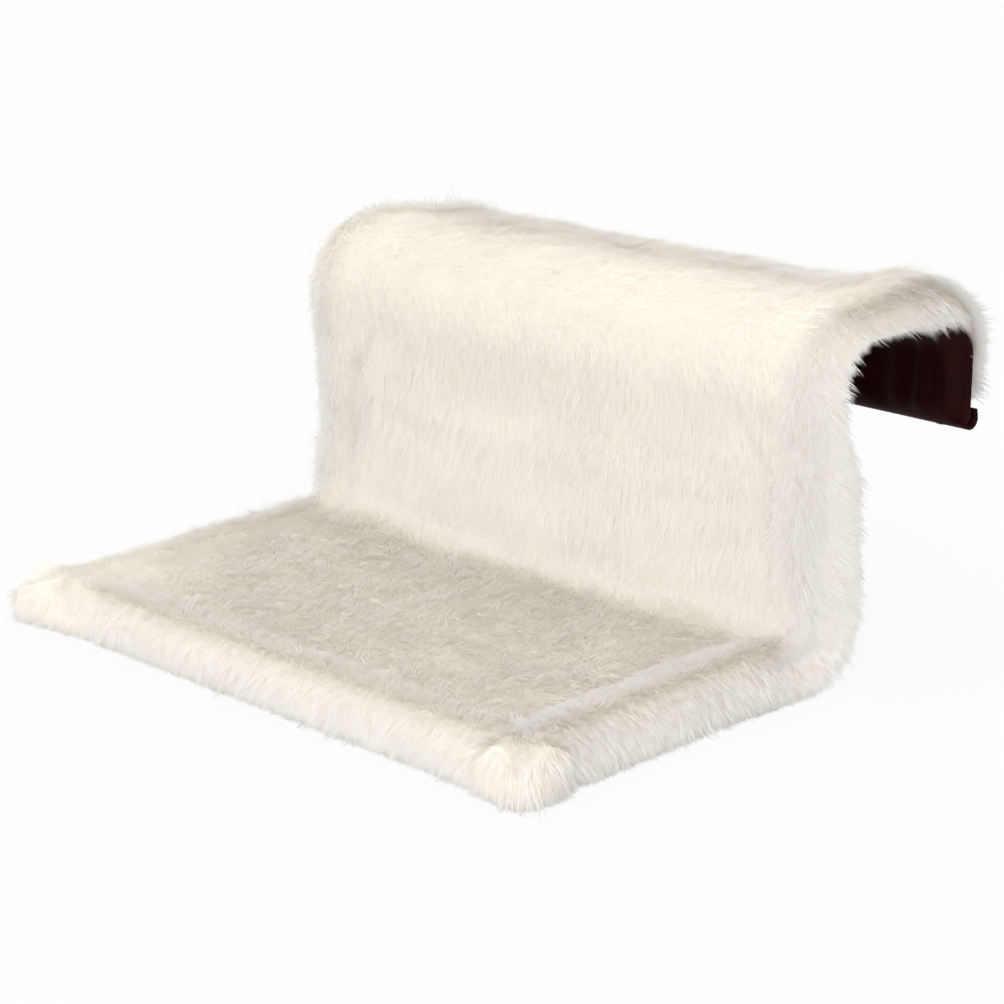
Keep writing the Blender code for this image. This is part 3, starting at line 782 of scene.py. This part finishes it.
def growTree(seed):
    tree = bpy.data.node_groups.new("growPile", "GeometryNodeTree")
    tree.interface.new_socket("Geometry", in_out="INPUT", socket_type="NodeSocketGeometry")
    tree.interface.new_socket("Geometry", in_out="OUTPUT", socket_type="NodeSocketGeometry")
    link = tree.links.new
    entry = tree.nodes.new("NodeGroupInput")
    leave = tree.nodes.new("NodeGroupOutput")

    def named(attribute, kind="FLOAT"):
        node = addNode(tree, "GeometryNodeInputNamedAttribute", {"Name": attribute}, data_type=kind)
        return node.outputs["Attribute"]

    def stored(geometry, name, value, kind="FLOAT"):
        node = addNode(
            tree, "GeometryNodeStoreNamedAttribute", {"Name": name}, data_type=kind, domain="POINT"
        )
        link(geometry, node.inputs["Geometry"])
        link(value, node.inputs["Value"])
        return node.outputs["Geometry"]

    def added(first, second):
        node = addNode(tree, "ShaderNodeVectorMath", operation="ADD")
        link(first, node.inputs[0])
        link(second, node.inputs[1])
        return node.outputs["Vector"]

    def scaled(vector, factor):
        node = addNode(tree, "ShaderNodeVectorMath", operation="SCALE")
        link(vector, node.inputs[0])
        if isinstance(factor, float):
            node.inputs["Scale"].default_value = factor
        else:
            link(factor, node.inputs["Scale"])
        return node.outputs["Vector"]

    def chance(kind, low, high, salt):
        node = addNode(tree, "FunctionNodeRandomValue", {"Seed": seed + salt}, data_type=kind)
        inputs = [socket for socket in node.inputs if socket.enabled]
        inputs[0].default_value, inputs[1].default_value = low, high
        return next(socket for socket in node.outputs if socket.enabled)

    density = addNode(tree, "ShaderNodeMath", operation="MULTIPLY")
    density.inputs[1].default_value = pile["tuftsPerSquareMetre"]
    link(named("pileShare"), density.inputs[0])
    scatter = addNode(tree, "GeometryNodeDistributePointsOnFaces", distribute_method="RANDOM")
    scatter.inputs["Seed"].default_value = seed
    link(entry.outputs[0], scatter.inputs["Mesh"])
    link(density.outputs[0], scatter.inputs["Density"])
    points = stored(
        scatter.outputs["Points"], "pileNormal", scatter.outputs["Normal"], "FLOAT_VECTOR"
    )
    points = stored(points, "tone", chance("FLOAT", 0.0, 1.0, 11))

    normal = named("pileNormal", "FLOAT_VECTOR")
    spot = tree.nodes.new("GeometryNodeInputPosition").outputs["Position"]
    wave = addNode(tree, "ShaderNodeTexNoise", {"Scale": pile["combWaveScale"], "Detail": 2.0})
    link(spot, wave.inputs["Vector"])
    centred = addNode(tree, "ShaderNodeVectorMath", operation="SUBTRACT")
    centred.inputs[1].default_value = (0.5, 0.5, 0.5)
    link(wave.outputs["Color"], centred.inputs[0])
    jitter = chance("FLOAT_VECTOR", (-1, -1, -1), (1, 1, 1), 23)
    grown = added(named("comb", "FLOAT_VECTOR"), scaled(normal, named("pileLift")))
    grown = added(grown, scaled(centred.outputs[0], pile["combWave"]))
    grown = added(grown, scaled(jitter, pile["fineNoise"]))
    aim = addNode(tree, "FunctionNodeAlignRotationToVector", axis="Z")
    link(grown, aim.inputs["Vector"])
    roll = addNode(tree, "FunctionNodeAlignRotationToVector", axis="X", pivot_axis="Z")
    link(aim.outputs["Rotation"], roll.inputs["Rotation"])
    link(normal, roll.inputs["Vector"])
    # most locks are much alike, and a few are longer
    lock = addNode(tree, "ShaderNodeFloatCurve")
    for spot, share in zip((0.5, pile["usual"]), pile["lockSizes"][1:]):
        lock.mapping.curves[0].points.new(spot, share)
    lock.mapping.curves[0].points[0].location = (0.0, pile["lockSizes"][0])
    lock.mapping.curves[0].points[-1].location = (1.0, 1.0)
    lock.mapping.update()
    link(chance("FLOAT", 0.0, 1.0, 37), lock.inputs["Value"])
    longest = addNode(tree, "ShaderNodeMath", operation="MULTIPLY")
    longest.inputs[1].default_value = pile["longest"]
    link(lock.outputs["Value"], longest.inputs[0])
    size = addNode(tree, "ShaderNodeMath", operation="MULTIPLY")
    link(longest.outputs[0], size.inputs[0])
    link(named("pileLength"), size.inputs[1])
    source = addNode(tree, "GeometryNodeCollectionInfo")
    source.inputs["Collection"].default_value = tufts
    source.inputs["Separate Children"].default_value = True
    source.inputs["Reset Children"].default_value = True
    sow = addNode(tree, "GeometryNodeInstanceOnPoints")
    sow.inputs["Pick Instance"].default_value = True
    link(points, sow.inputs["Points"])
    link(source.outputs[0], sow.inputs["Instance"])
    link(chance("INT", 0, pile["variants"] - 1, 41), sow.inputs["Instance Index"])
    link(roll.outputs["Rotation"], sow.inputs["Rotation"])
    link(size.outputs[0], sow.inputs["Scale"])
    real = tree.nodes.new("GeometryNodeRealizeInstances")
    link(sow.outputs["Instances"], real.inputs["Geometry"])
    # nothing hangs below the floor
    put = tree.nodes.new("GeometryNodeSetPosition")
    parts = tree.nodes.new("ShaderNodeSeparateXYZ")
    whole = tree.nodes.new("ShaderNodeCombineXYZ")
    lowest = addNode(tree, "ShaderNodeMath", operation="MAXIMUM")
    lowest.inputs[1].default_value = floorZ + 0.0002
    link(tree.nodes.new("GeometryNodeInputPosition").outputs["Position"], parts.inputs[0])
    link(parts.outputs["X"], whole.inputs["X"])
    link(parts.outputs["Y"], whole.inputs["Y"])
    link(parts.outputs["Z"], lowest.inputs[0])
    link(lowest.outputs[0], whole.inputs["Z"])
    link(real.outputs["Geometry"], put.inputs["Geometry"])
    link(whole.outputs[0], put.inputs["Position"])
    # soft shading: a blade's normal leans to that of the cloth below it
    own = tree.nodes.new("GeometryNodeInputNormal").outputs["Normal"]
    mixed = added(scaled(own, 1 - pile["skinNormal"]), scaled(normal, pile["skinNormal"]))
    shaded = addNode(tree, "GeometryNodeSetMeshNormal", mode="FREE", domain="POINT")
    link(put.outputs["Geometry"], shaded.inputs["Mesh"])
    link(mixed, shaded.inputs["Custom Normal"])
    link(shaded.outputs[0], leave.inputs[0])
    return tree


# How the pile is combed along the pattern: onward, across to the right, and away from the frame
combing = {
    "onward": (
        (creaseStart - 0.03, -0.25),
        (creaseEnd + 0.02, -1.0),
        (backEnd - 0.01, -0.9),
        (backEnd + 0.012, -0.2),
        (topStart, 0.35),
        (hookStart, 0.5),
        (dropStart, 0.7),
        (hookBar, 0.9),
    ),
    "across": (
        (creaseStart - 0.03, 0.80),
        (creaseEnd + 0.02, 0.0),
        (backEnd - 0.01, 0.15),
        (topStart, 0.70),
        (hookStart, 0.70),
        (dropStart, 0.25),
    ),
    "outward": (
        (creaseStart - 0.04, -2.6),
        (creaseEnd + 0.04, -1.6),
        (backEnd - 0.02, -0.8),
        (backEnd + 0.02, -0.5),
        (hookBar - 0.02, -0.25),
        (hookBar - 0.008, 0.30),
    ),
    "length": (
        (creaseJoint, 1.0),
        (creaseMiddle, 0.9),
        (creaseEnd + 0.02, 0.95),
        (backEnd, 0.85),
        (topStart + 0.01, 0.75),
        (hookStart, 1.0),
        (hookBar - 0.025, 1.12),
        (hookBar, 0.70),
    ),
    "lowest": ((thinStart, -0.0135), (thinEnd, 0.0004), (hookBar, 0.0010)),
}


# Where the pile turns over on the border rolls, measured from their sewn edge
parting = {
    "side": 0.024,
    "sideWidth": 0.014,
    "sideCrest": 0.017,
    "sideReach": 0.012,
    "front": 0.019,
    "frontWidth": 0.010,
    "frontCrest": 0.018,
    "frontReach": 0.013,
    "crestReach": 0.011,
}


def pileFacts(piece, flat, ends):
    # for each point of the cloth: the way the pile is combed, how steeply it stands and its length
    mesh = piece.data
    normals = readPoints(mesh, "normal")
    x, distance, height = flat.T
    heading = np.interp(distance, routeSteps, routeRows[:, 2])
    still = np.zeros_like(heading)
    ahead = np.stack((still, np.cos(heading), np.sin(heading)), axis=1)
    out = np.stack((still, -np.sin(heading), np.cos(heading)), axis=1)
    fromSide = halfWidthAt(x, distance) - np.abs(x)
    sideways = ease((parting["side"] - fromSide) / parting["sideWidth"])
    forward = ease((cover["frontEnd"] + parting["front"] - distance) / parting["frontWidth"])
    onward = level(distance, combing["onward"]) * (1 - forward) - forward
    comb = ahead * onward[:, None] + out * level(distance, combing["outward"])[:, None]
    comb[:, 0] += level(distance, combing["across"]) * (1 - forward) * (1 - sideways)
    comb[:, 0] += np.sign(x) * 1.1 * sideways
    # along the crest of a roll the pile turns over from one side to the other lying lengthwise
    fromFront = (distance - cover["frontEnd"]) * cover["frontNarrower"]
    frontCrest = bump(fromFront, parting["frontCrest"], parting["frontReach"])
    frontCrest *= ease((fromSide - 0.030) / 0.020)
    sideCrest = bump(fromSide, parting["sideCrest"], parting["sideReach"]) * (1 - forward)
    comb[:, 0] += frontCrest
    comb -= ahead * 0.9 * sideCrest[:, None]
    comb -= normals * np.sum(comb * normals, axis=1, keepdims=True)
    comb /= np.maximum(np.linalg.norm(comb, axis=1, keepdims=True), 1e-6)
    # thinner towards the left front corner, and below the sides of the top
    length = level(distance, combing["length"])
    length *= 1 - 0.35 * bump(x, -cover["halfWidth"], 0.07) * bump(distance, cover["frontEnd"] + 0.05, 0.09)
    length *= 1 - 0.5 * ease((0.002 - height) / 0.005) * ease((distance - backEnd + 0.01) / 0.03)
    storeFacts(mesh, "comb", "FLOAT_VECTOR", comb)
    # the pile stands up along the crest of the border rolls, where it parts
    crest = bump(edgeDistance(x, distance, ends), cover["rollOuter"], parting["crestReach"])
    crest = np.maximum(crest, 0.6 * ease((distance - dropStart) / 0.02))
    storeFacts(mesh, "pileLift", "FLOAT", pile["lift"] + pile["crestLift"] * crest)
    storeFacts(mesh, "pileLength", "FLOAT", length)
    denser = 1 + pile["crestDenser"] * np.minimum(frontCrest + sideCrest, 1)
    return denser * ease((height - level(distance, combing["lowest"])) / 0.001)


def growPile(piece, name, share, seed):
    storeFacts(piece.data, "pileShare", "FLOAT", share)
    grow = piece.modifiers.new("grow", "NODES")
    grow.node_group = growTree(seed)
    graph = bpy.context.evaluated_depsgraph_get()
    mesh = bpy.data.meshes.new_from_object(
        piece.evaluated_get(graph), preserve_all_data_layers=True, depsgraph=graph
    )
    piece.modifiers.remove(grow)
    mesh.materials.clear()
    mesh.materials.append(creamPlush)
    mesh.name = name
    made = bpy.data.objects.new(name, mesh)
    bpy.context.scene.collection.objects.link(made)
    return made


def between(values, low, high, soft=0.004):
    return np.clip((values - low) / soft + 0.5, 0, 1) * np.clip((high - values) / soft + 0.5, 0, 1)


# where the pile is parted into pieces, along the flat pattern
pileBands = {
    "seatCover": (("front", -1.0, 0.075), ("seat", 0.075, 0.160), ("rear", 0.160, 1.0)),
    "backCover": (
        ("crease", 0.0, creaseEnd + 0.030),
        ("back", creaseEnd + 0.030, backEnd - 0.010),
        ("top", backEnd - 0.010, hookStart - 0.012),
        ("hook", hookStart - 0.012, 1.0),
    ),
}
total = 0
for key, (piece, flat, ends) in coverPieces.items():
    covered = pileFacts(piece, flat, ends)
    for number, (band, low, high) in enumerate(pileBands[key]):
        for side, sideName in ((-1, "Left"), (1, "Right")):
            share = covered * between(flat[:, 1], low, high) * between(side * flat[:, 0], 0.0, 1.0)
            seed = pile["seed"] + 100 * number + 37 * side + (key == "backCover") * 1000
            made = growPile(piece, f"{band}Pile{sideName}", share, seed)
            count = sum(len(face.vertices) - 2 for face in made.data.polygons)
            total += count
            print(made.name, count, "triangles")
            if band in ("top", "hook"):
                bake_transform(made)
            else:
                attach(made, "bed")
print("pile grown,", total, "triangles")


def thickened(piece, thickness):
    # gives an open sheet its thickness, inwards
    work = bmesh.new()
    work.from_mesh(piece.data)
    bmesh.ops.solidify(work, geom=work.faces[:], thickness=thickness)
    bmesh.ops.recalc_face_normals(work, faces=work.faces)
    work.to_mesh(piece.data)
    work.free()
    piece.data.shade_smooth()


for key, (piece, flat, ends) in coverPieces.items():
    for name in ("comb", "pileLift", "pileLength", "pileShare"):
        piece.data.attributes.remove(piece.data.attributes[name])
    thickened(piece, cover["thickness"])
seatCover, backCover = coverPieces["seatCover"][0], coverPieces["backCover"][0]
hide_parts("plush_seat")
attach(seatCover, "bed")
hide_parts("plush_back", "plush_top", "plush_hook")
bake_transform(backCover)
print("covers done")


# The lining: one sheet under the seat, one behind the back, under the top and down the hook,
# where it turns round the lower bar
lining = {
    "thickness": 0.001,
    "level": -0.0153,
    "topLevel": -0.0078,
    "seatHalfWidth": 0.2315,
    "backHalfWidth": 0.2365,
    "step": 0.004,
    "wrapStart": hookBar + 0.0018,
    "wrapRadius": 0.0078,
    "tuckEnd": hookBar - 0.004,
    "edgeTurn": ((backEnd - 0.05, 0.0035), (backEnd, 0.0054)),
    "edgeTurnWidth": ((backEnd - 0.05, 0.006), (backEnd, 0.015)),
    # upright folds of the flap: place across, half width, depth
    "folds": (
        (0.2160, 0.0050, 0.0030),
        (0.2010, 0.0060, 0.0036),
        (0.1840, 0.0075, 0.0024),
        (0.1500, 0.0120, 0.0020),
        (0.0900, 0.0140, 0.0022),
        (0.0200, 0.0150, 0.0018),
        (-0.0600, 0.0140, 0.0022),
        (-0.1300, 0.0120, 0.0020),
        (-0.1860, 0.0080, 0.0028),
        (-0.2120, 0.0055, 0.0030),
    ),
    "bagLength": 0.020,
    # slack places where the sheet hangs in the bend: across, along, reach, depth
    "bags": (
        (0.186, hookStart + 0.018, 0.026, 0.0060),
        (-0.170, hookStart + 0.016, 0.030, 0.0045),
        (0.030, hookStart + 0.014, 0.045, 0.0030),
    ),
}


def liningSheet(name, start, end, halfWidth, wrapped):
    wrap = math.pi * lining["wrapRadius"] if wrapped else 0.0
    tuck = lining["wrapStart"] - lining["tuckEnd"] if wrapped else 0.0
    length = end - start + wrap + tuck
    columns, rows = round(2 * halfWidth / lining["step"]), round(length / lining["step"])
    work = bmesh.new()
    bmesh.ops.create_grid(work, x_segments=columns, y_segments=rows, size=0.5)
    flat = np.array([vertex.co for vertex in work.verts])
    x = flat[:, 0] * 2 * halfWidth
    way = start + (flat[:, 1] + 0.5) * length
    distance = np.minimum(way, end)
    base = level(distance, ((thinStart, lining["level"]), (thinEnd, lining["topLevel"])))
    spots = np.stack((x, distance, 0 * x), axis=1)
    free = ease((distance - creaseEnd) / 0.05) * ease((halfWidth - np.abs(x)) / 0.012)
    slack = ease((distance - hookStart) / 0.03) * ease((end + 0.004 - way) / 0.012)
    height = base - 0.0012 * free * waves(spots, 0.06, 9)
    for place, reach, depth in lining["folds"]:
        drift = 0.006 * waves(spots, 0.09, place * 40 + 20)
        height -= slack * depth * bump(x + drift, place, reach)
    for across, onward, reach, depth in lining["bags"]:
        height -= depth * free * bump(x, across, reach) * bump(distance, onward, lining["bagLength"])
    turnWidth = level(distance, lining["edgeTurnWidth"])
    height += level(distance, lining["edgeTurn"]) * ease((np.abs(x) - halfWidth + turnWidth) / turnWidth)
    # round the lower bar, and up inside the cover's end
    turn = np.clip((way - end) / max(wrap, 1e-9), 0, 1) * math.pi if wrapped else 0 * way
    distance = distance + lining["wrapRadius"] * np.sin(turn)
    height = np.where(turn > 0, -lining["wrapRadius"] * np.cos(turn), height)
    after = np.maximum(way - end - wrap, 0) if wrapped else 0 * way
    distance = distance - after
    height -= 0.0016 * ease(after / 0.004)
    placed = bent(np.stack((x, distance, height), axis=1))
    for vertex, place in zip(work.verts, placed):
        vertex.co = place
    bmesh.ops.recalc_face_normals(work, faces=work.faces)
    bmesh.ops.solidify(work, geom=work.faces[:], thickness=lining["thickness"])
    bmesh.ops.recalc_face_normals(work, faces=work.faces)
    made = objectFrom(name, work, redBrownLining)
    print(name, "cut", round(2 * halfWidth, 3), "by", round(length, 3))
    return made


seatLining = liningSheet(
    "seatLining", cover["frontEnd"] + 0.002, creaseJoint, lining["seatHalfWidth"], False
)
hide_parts("lining_seat")
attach(seatLining, "bed")
backLining = liningSheet(
    "backLining", creaseJoint + 0.0005, lining["wrapStart"], lining["backHalfWidth"], True
)
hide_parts("lining_back", "lining_top", "lining_hook")
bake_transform(backLining)
print("lining done")


# Wadding and foam inside the cover: each has its solid's place, with softer and uneven surfaces
filling = {
    "wadding": {"voxel": 0.0045, "uneven": 0.0006, "pitch": 0.012, "material": whiteWadding, "fill": 0.35},
    "foam": {"voxel": 0.0016, "uneven": 0.0002, "pitch": 0.006, "material": greyFoam, "fill": 0.9},
}


def softened(node, look, body):
    words = node.split("_")
    name = words[0] + "".join(word.capitalize() for word in words[1:]) + "Piece"
    mesh = frame["nodes"][node].data.copy()
    piece = bpy.data.objects.new(name, mesh)
    bpy.context.scene.collection.objects.link(piece)
    remeshed(piece, look["voxel"])
    work = bmesh.new()
    work.from_mesh(piece.data)
    bmesh.ops.smooth_vert(
        work, verts=work.verts, factor=0.5, use_axis_x=True, use_axis_y=True, use_axis_z=True
    )
    work.to_mesh(piece.data)
    work.free()
    points = readPoints(piece.data)
    depth = look["uneven"] * (0.5 + 0.5 * waves(points, look["pitch"], 3))
    writePoints(piece.data, points - depth[:, None] * readPoints(piece.data, "normal"))
    piece.data.materials.clear()
    piece.data.materials.append(look["material"])
    piece.data.shade_smooth()
    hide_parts(node)
    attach(piece, body)
    return piece


for body, nodes in frame["record"]["behaviour"]["bodies"].items():
    for node in nodes:
        for word, look in filling.items():
            if word in node:
                made = softened(node, look, body)
                print(made.name, len(made.data.polygons), "faces")


# Hard parts keep their CAD shapes
finishes = {
    greyCoat: ("side_rail", "cross_bar", "hook_leg"),
    zincPlate: ("bar_bolt", "bar_insert", "clamp_nut", "thumb_screw"),
    blackPlastic: ("plug", "thumb_knob"),
    darkTape: ("closure",),
}
for finish, words in finishes.items():
    for name, node in frame["nodes"].items():
        if any(word in name for word in words):
            node.data.materials.clear()
            node.data.materials.append(finish)
print("hard parts finished")


# Floor, light and camera
studio = {
    "worldLight": 1.45,
    "keyPower": 3.4,
    "keyPlace": (-0.5, -2.3, 0.55),
    "keySize": 1.5,
    "fillPower": 4.0,
    "fillPlace": (1.3, -2.0, 0.5),
    "fillSize": 1.5,
    "floorWhite": 0.92,
    "floorColour": (0.60, 0.60, 0.60, 1),
}


def whiteWhereSeen(tree, share):
    # camera, glossy and transmission rays see plain white by this share
    link = tree.links.new
    rays = tree.nodes.new("ShaderNodeLightPath")
    either = addNode(tree, "ShaderNodeMath", operation="MAXIMUM")
    seen = addNode(tree, "ShaderNodeMath", operation="MAXIMUM")
    amount = addNode(tree, "ShaderNodeMath", operation="MULTIPLY")
    amount.inputs[1].default_value = share
    link(rays.outputs["Is Glossy Ray"], either.inputs[0])
    link(rays.outputs["Is Transmission Ray"], either.inputs[1])
    link(rays.outputs["Is Camera Ray"], seen.inputs[0])
    link(either.outputs[0], seen.inputs[1])
    link(seen.outputs[0], amount.inputs[0])
    return amount.outputs[0]


def mixedOutput(tree, output, share, first, second):
    mix = tree.nodes.new("ShaderNodeMixShader")
    tree.links.new(whiteWhereSeen(tree, share), mix.inputs["Fac"])
    tree.links.new(first.outputs[0], mix.inputs[1])
    tree.links.new(second.outputs[0], mix.inputs[2])
    tree.links.new(mix.outputs[0], tree.nodes[output].inputs["Surface"])


def addFloor():
    work = bmesh.new()
    bmesh.ops.create_grid(work, x_segments=1, y_segments=1, size=12)
    bmesh.ops.translate(work, verts=work.verts, vec=(0, 0, floorZ - 0.0001))
    material, tree, shader = newMaterial("paleFloor")
    shader.inputs["Base Color"].default_value = studio["floorColour"]
    shader.inputs["Roughness"].default_value = 1.0
    shader.inputs["Specular IOR Level"].default_value = 0.0
    glow = addNode(tree, "ShaderNodeEmission", {"Color": (1, 1, 1, 1), "Strength": 1.0})
    mixedOutput(tree, "Material Output", studio["floorWhite"], shader, glow)
    objectFrom("floor", work, material)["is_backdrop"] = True


def addWorld():
    world = bpy.data.worlds.new("studio")
    world.use_nodes = True
    bpy.context.scene.world = world
    tree = world.node_tree
    sky = tree.nodes["Background"]
    sky.inputs["Color"].default_value = (1, 1, 1, 1)
    sky.inputs["Strength"].default_value = studio["worldLight"]
    white = addNode(tree, "ShaderNodeBackground", {"Color": (1, 1, 1, 1), "Strength": 1.0})
    mixedOutput(tree, "World Output", 1.0, sky, white)


def addLamp(name):
    place = Vector(studio[name + "Place"])
    lamp = bpy.data.lights.new(name, "AREA")
    lamp.shape = "DISK"
    lamp.size = studio[name + "Size"]
    lamp.energy = studio[name + "Power"]
    made = bpy.data.objects.new(name, lamp)
    bpy.context.scene.collection.objects.link(made)
    made.location = place
    made.rotation_euler = (Vector((0, -0.12, -0.1)) - place).to_track_quat("-Z", "Y").to_euler()


viewpoint = {
    "azimuth": 44.20,
    "elevation": 16.98,
    "focal": 2704.0,  # in pixels of a 1004-pixel image
    "distance": 1.9005,
    "right": -0.0418,
    "up": 0.0686,
    "origin": (0.0, -0.0565, -0.2135),
}


def addCamera():
    azimuth, elevation = math.radians(viewpoint["azimuth"]), math.radians(viewpoint["elevation"])
    back = Vector(
        (
            math.sin(azimuth) * math.cos(elevation),
            -math.cos(azimuth) * math.cos(elevation),
            math.sin(elevation),
        )
    )
    right = Vector((math.cos(azimuth), math.sin(azimuth), 0))
    up = back.cross(right)
    data = bpy.data.cameras.new("camera")
    data.sensor_width = 36.0
    data.lens = data.sensor_width * viewpoint["focal"] / 1004
    data.clip_end = 60
    made = bpy.data.objects.new("camera", data)
    bpy.context.scene.collection.objects.link(made)
    spot = (
        Vector(viewpoint["origin"])
        + back * viewpoint["distance"]
        + right * viewpoint["right"]
        + up * viewpoint["up"]
    )
    turn = Matrix((right, up, back)).transposed()
    made.matrix_world = Matrix.Translation(spot) @ turn.to_4x4()
    bpy.context.scene.camera = made


addFloor()
addWorld()
addLamp("key")
addLamp("fill")
addCamera()
bpy.context.scene.view_settings.view_transform = "Standard"
bpy.context.scene.cycles.max_bounces = 16
bpy.context.scene.cycles.diffuse_bounces = 12
low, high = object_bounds()
print("visual box", [round(x, 4) for x in (*low, *high)])
